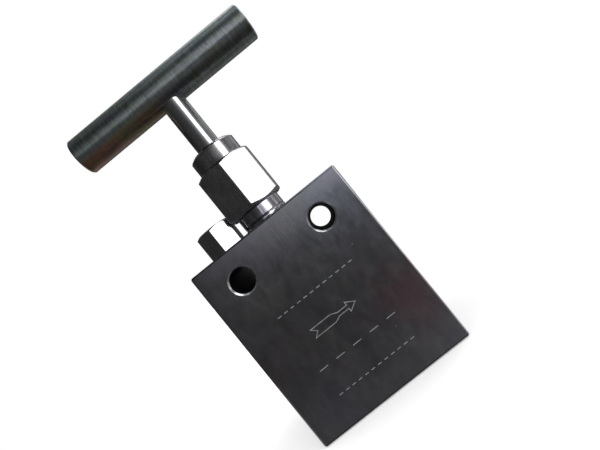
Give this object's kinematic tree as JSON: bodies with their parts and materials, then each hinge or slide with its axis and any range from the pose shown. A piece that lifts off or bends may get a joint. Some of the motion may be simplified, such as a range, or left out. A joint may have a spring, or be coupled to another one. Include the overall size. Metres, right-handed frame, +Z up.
{
  "type": "needle valve",
  "caption": "Square block needle valve with side ports, a screwed bonnet, a rising stem and a plain T-bar handle for throttling or shutting off small lines.",
  "frame": {"origin": "centre of the block's bottom face", "axes": "+Z up along the stem axis, +X along the flow from inlet to outlet, -Y is the marked front face"},
  "size_m": [0.0616, 0.045, 0.1071],
  "materials": {
    "block_steel": "fine-ground stainless steel block, dark mirror-like reflections",
    "hex_steel": "bright drawn stainless hexagon bar, turned collar and thread",
    "polished_steel": "polished stainless spindle",
    "turned_steel": "turned stainless steel",
    "bar_steel": "turned stainless bar with fine circumferential tool lines",
    "ptfe": "white waxy fluoropolymer",
    "wiper_rubber": "black moulded rubber",
    "washer_bronze": "bearing bronze",
    "dark_screw": "black-oxide alloy steel"
  },
  "bodies": {
    "valve": {"valve_body": "block_steel", "seat_gasket": "ptfe", "seat_insert": "turned_steel", "bottom_packing_washer": "turned_steel", "packing_ring_lower": "ptfe", "packing_ring_middle": "ptfe", "packing_ring_upper": "ptfe", "top_packing_washer": "turned_steel", "packing_follower": "turned_steel", "packing_gland": "hex_steel", "gland_wiper_ring": "wiper_rubber", "lock_screw": "hex_steel"},
    "needle": {"lower_stem": "polished_steel"},
    "handle": {"upper_stem": "polished_steel", "thrust_ball": "polished_steel", "thrust_washer": "washer_bronze", "stem_retainer": "turned_steel", "handle_bar": "bar_steel", "handle_set_screw": "dark_screw"}
  },
  "joints": [
    {"name": "stem_lift", "type": "slide", "parent": "valve", "child": "needle", "axis": [0, 0, 1], "range_m": [0, 0.004]},
    {"name": "handle_turn", "type": "hinge", "parent": "needle", "child": "handle", "pos_m": [0, 0, 0.0884], "axis": [0, 0, 1], "range_deg": [0, 1440]}
  ],
  "couplings": [
    {"joint": "stem_lift", "follows": "handle_turn", "m_per_rad": 0.00015915}
  ]
}
